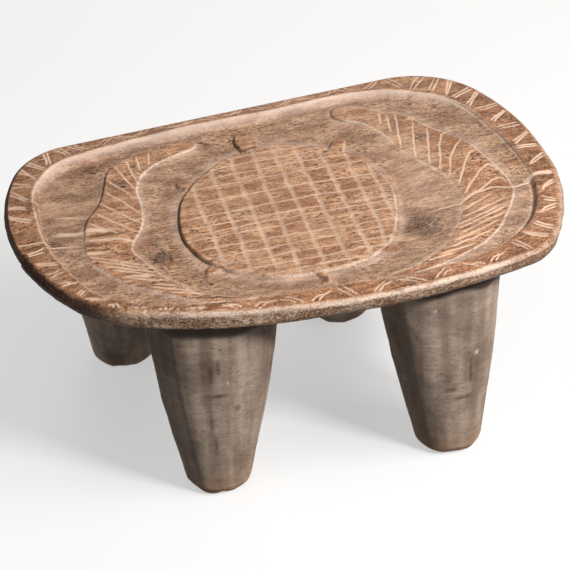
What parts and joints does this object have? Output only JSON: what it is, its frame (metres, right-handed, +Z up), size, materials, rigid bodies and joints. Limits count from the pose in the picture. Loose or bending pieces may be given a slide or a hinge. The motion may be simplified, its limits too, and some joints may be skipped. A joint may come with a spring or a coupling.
{
  "type": "stool",
  "caption": "Low carved wooden stool: dished rounded-rectangle seat with a raised tortoise between ribbed crescents, on tapering splayed legs.",
  "frame": {"origin": "on the floor, under the middle of the seat's outline", "axes": "+X along the seat to its right end, +Y to the back, +Z up"},
  "size_m": [0.493, 0.326, 0.222],
  "materials": {
    "wood": "worn, dry, hand-carved"
  },
  "bodies": {
    "root": {"seat": "wood", "leg_front_left": "wood", "leg_front_right": "wood", "leg_rear_left": "wood", "leg_rear_right": "wood"}
  },
  "joints": []
}
